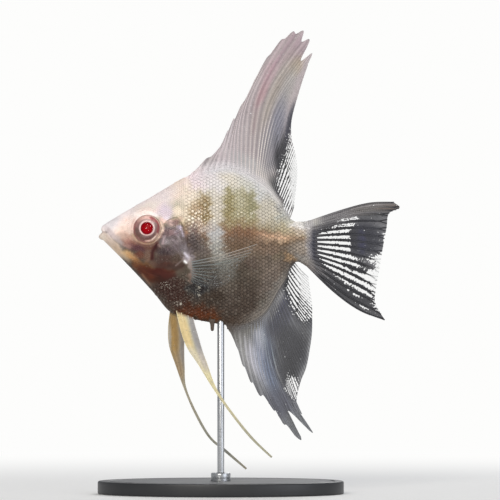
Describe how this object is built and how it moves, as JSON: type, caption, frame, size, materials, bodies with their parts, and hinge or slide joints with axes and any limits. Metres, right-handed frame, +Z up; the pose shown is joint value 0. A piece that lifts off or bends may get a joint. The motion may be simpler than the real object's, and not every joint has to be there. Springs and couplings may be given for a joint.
{
  "type": "freshwater angelfish model",
  "caption": "Still, life-size freshwater angelfish with tall sail-like fins and long trailing pelvic filaments, held above an oval steel base by a slim rod.",
  "frame": {"origin": "centre of the underside of the oval stand base, on the rod's axis", "axes": "+Z up, the fish faces -X, its left side faces -Y"},
  "size_m": [0.0785, 0.044, 0.1205],
  "materials": {
    "skin": "satin",
    "gill_cover": "satin",
    "fin_membrane": "satin",
    "pelvic_filament": "satin",
    "eye": "polished",
    "blackened_steel": "satin",
    "brushed_steel": "satin"
  },
  "bodies": {
    "root": {"head": "skin", "lower_jaw": "skin", "gill_cover_left": "gill_cover", "gill_cover_right": "gill_cover", "eye_left": "eye", "eye_right": "eye", "trunk": "skin", "tail_stalk": "skin", "dorsal_fin": "fin_membrane", "anal_fin": "fin_membrane", "tail_fin": "fin_membrane", "pectoral_fin_left": "fin_membrane", "pectoral_fin_right": "fin_membrane", "pelvic_fin_left": "pelvic_filament", "pelvic_fin_right": "pelvic_filament", "vent_papilla": "skin", "stand_base": "blackened_steel", "stand_collar": "brushed_steel", "stand_rod": "brushed_steel"}
  },
  "joints": []
}
